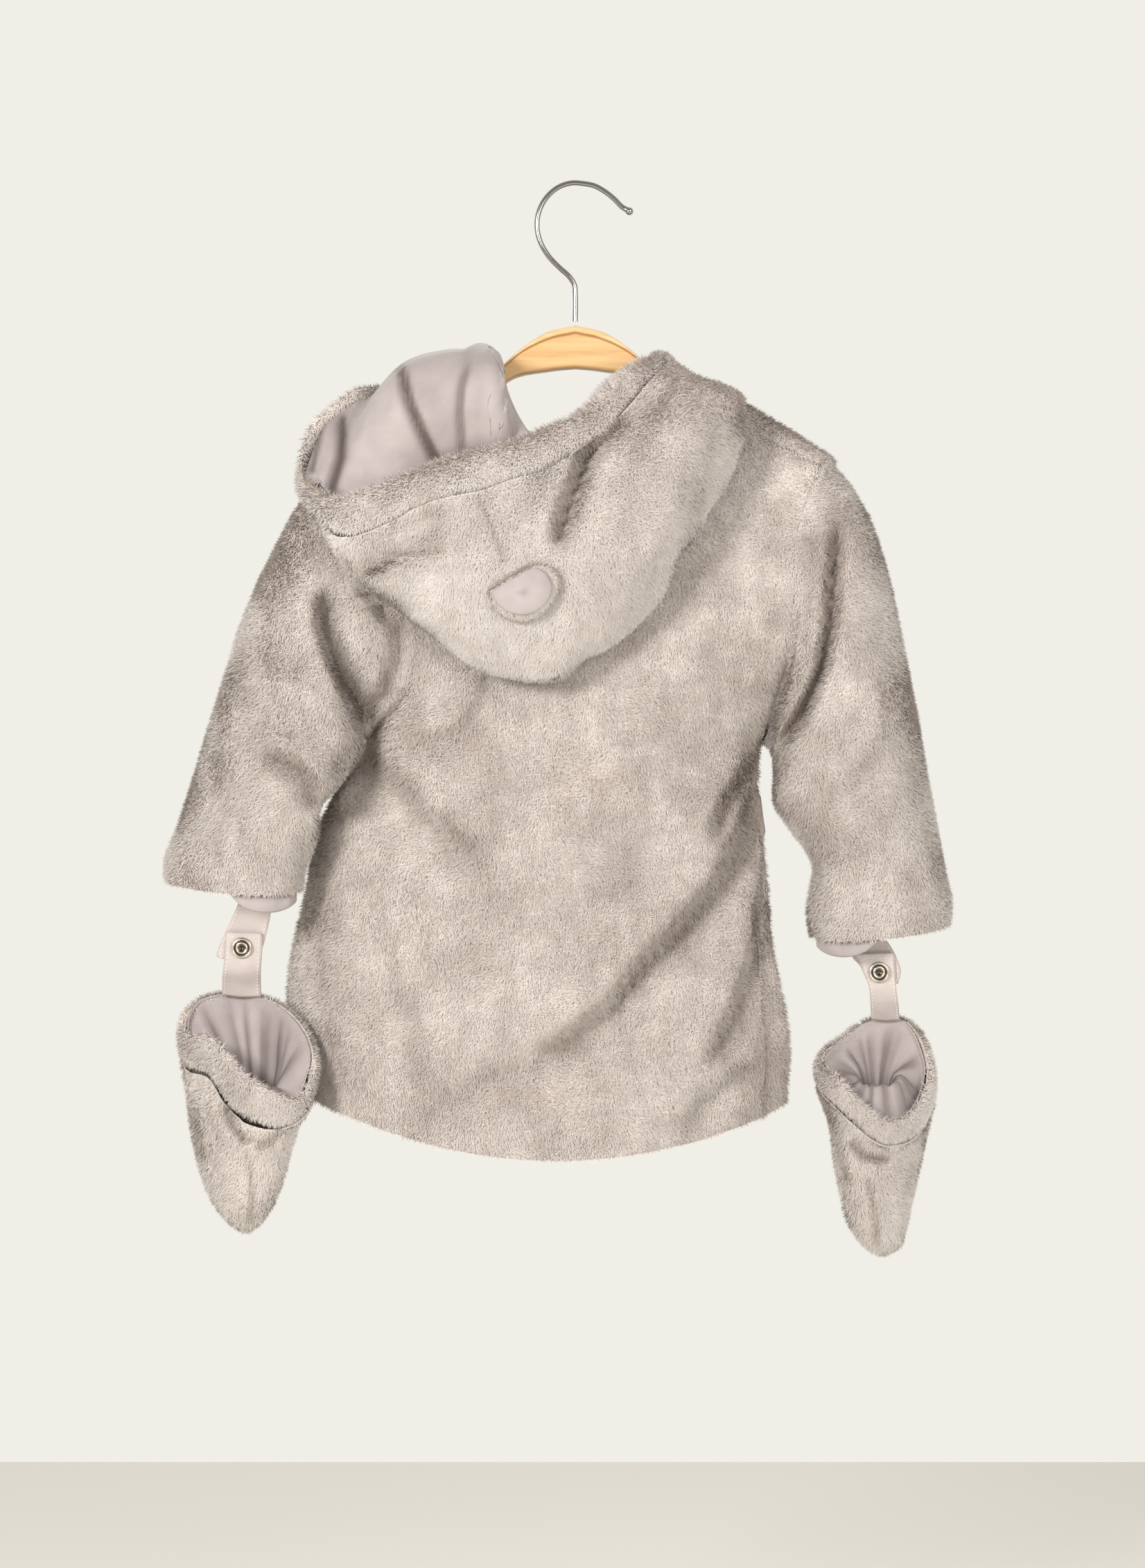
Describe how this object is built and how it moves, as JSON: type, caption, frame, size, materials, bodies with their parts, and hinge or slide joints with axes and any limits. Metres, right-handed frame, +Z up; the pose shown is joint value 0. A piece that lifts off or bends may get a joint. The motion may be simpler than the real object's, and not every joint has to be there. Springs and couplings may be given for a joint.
{
  "type": "hooded short coat on a hanger",
  "caption": "Short plush coat for a small child, hung by its shoulders on an arched wooden hanger: hood turned down the back with a round ear, mittens hanging by straps from the cuffs.",
  "frame": {"origin": "the seat of the hanger's hook: the inside top of its bend, where it rests on a rail", "axes": "+Z up; -Y towards the coat's back, which faces the viewer; +X to the wearer's right, which is the viewer's right"},
  "size_m": [0.4547, 0.1405, 0.6185],
  "materials": {
    "plush": "warm grey-beige pile about 5 mm deep, brushed unevenly",
    "lining": "smooth lilac-grey woven lining, matt",
    "snap_metal": "warm silver ring snaps",
    "hanger_wood": "honey-coloured wood with a clear satin varnish",
    "hook_chrome": "polished"
  },
  "bodies": {
    "root": {"back": "plush", "front_left": "plush", "front_right": "plush", "sleeve_left": "plush", "sleeve_right": "plush", "hood_side_right": "plush", "hood_gusset": "plush", "hood_side_left": "plush", "hood_band": "plush", "ear": "plush", "mitten_cuff_left": "plush", "mitten_cuff_right": "plush", "mitten_left": "plush", "mitten_right": "plush", "hood_lining": "lining", "cuff_lining_left": "lining", "cuff_lining_right": "lining", "ear_inner": "lining", "mitten_lining_left": "lining", "mitten_lining_right": "lining", "mitten_strap_left": "lining", "mitten_strap_right": "lining", "sleeve_strap_left": "lining", "sleeve_strap_right": "lining", "snap_left": "snap_metal", "snap_right": "snap_metal", "snap_back_left": "snap_metal", "snap_back_right": "snap_metal", "hanger_wood": "hanger_wood", "hanger_hook": "hook_chrome"}
  },
  "joints": []
}
